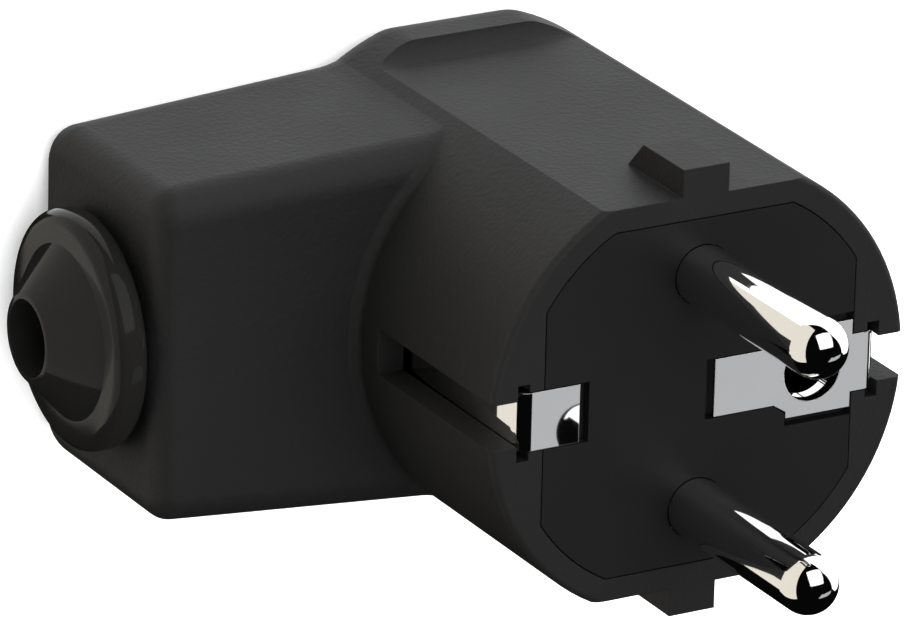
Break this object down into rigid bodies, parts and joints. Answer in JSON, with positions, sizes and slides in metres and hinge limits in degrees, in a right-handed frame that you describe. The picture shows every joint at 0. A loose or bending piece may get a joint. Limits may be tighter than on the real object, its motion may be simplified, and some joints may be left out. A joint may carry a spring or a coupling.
{
  "type": "angled earthed mains plug",
  "caption": "Angled earthed mains plug with round pins, side earth contacts, a hole for a socket's earth pin, and a side arm ending in a cord gland.",
  "frame": {"origin": "the middle of the engagement face, between the two pins", "axes": "+Z the way the pins point, Y through both pins, -X along the side arm towards the cord"},
  "size_m": [0.0591, 0.0364, 0.0616],
  "materials": {
    "housing_plastic": "black, matt, with a fine moulded grain",
    "carrier_plastic": "black, smooth, satin",
    "gland_rubber": "black, smooth, glossy",
    "plated_pin": "solid brass with bright nickel plating",
    "plated_strip": "brass strip with bright nickel plating",
    "brass_parts": "plain brass",
    "zinc_steel": "zinc-plated steel"
  },
  "bodies": {
    "root": {"housing": "housing_plastic", "pin_carrier": "carrier_plastic", "pin_retainer": "carrier_plastic", "clamp_saddle": "carrier_plastic", "gland": "gland_rubber", "line_pin": "plated_pin", "neutral_pin": "plated_pin", "earth_strip": "plated_strip", "earth_strip_with_socket": "plated_strip", "earth_bridge": "plated_strip", "earth_sleeve": "plated_strip", "line_terminal": "brass_parts", "neutral_terminal": "brass_parts", "earth_terminal": "brass_parts", "housing_inserts": "brass_parts", "clamp_inserts": "brass_parts", "sleeve_ring": "zinc_steel", "earth_rivets": "zinc_steel", "terminal_screws": "zinc_steel", "retainer_screws": "zinc_steel", "housing_screws": "zinc_steel", "clamp_screws": "zinc_steel"}
  },
  "joints": []
}
